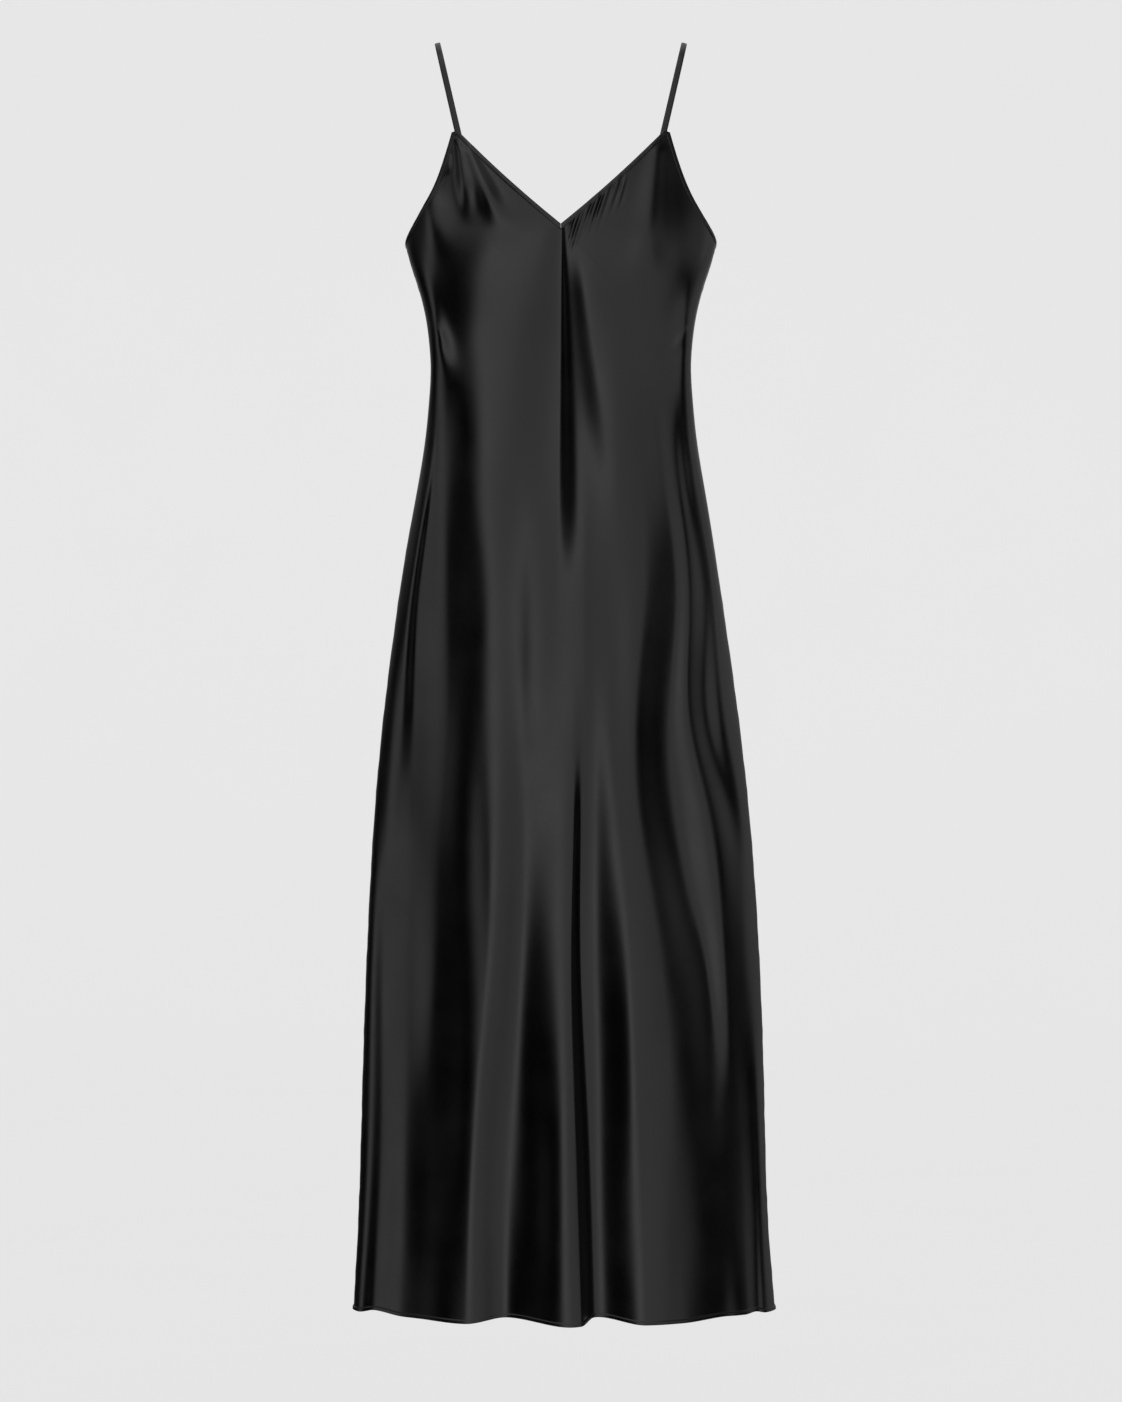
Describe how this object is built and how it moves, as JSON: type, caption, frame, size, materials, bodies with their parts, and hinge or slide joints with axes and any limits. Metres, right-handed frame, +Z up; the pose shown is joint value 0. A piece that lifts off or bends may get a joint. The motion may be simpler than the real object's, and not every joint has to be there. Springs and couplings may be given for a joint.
{
  "type": "slip dress",
  "caption": "Long bias satin slip dress with a V neck, narrow shoulder straps, bound edges and a softly fluted hem, in its hollow worn form.",
  "frame": {"origin": "midway between the two straps, where their undersides cross the top of the shoulders", "axes": "+Z up; the front of the dress faces -Y; the wearer's left is +X"},
  "size_m": [0.448, 0.2914, 1.3481],
  "materials": {
    "satin": "black satin, glossy along the folds",
    "satin_binding": "black satin, folded and stitched"
  },
  "bodies": {
    "root": {"front_panel": "satin", "back_panel": "satin", "neck_binding_right": "satin_binding", "neck_binding_left": "satin_binding", "underarm_binding": "satin_binding", "strap_right": "satin_binding", "strap_left": "satin_binding"}
  },
  "joints": []
}
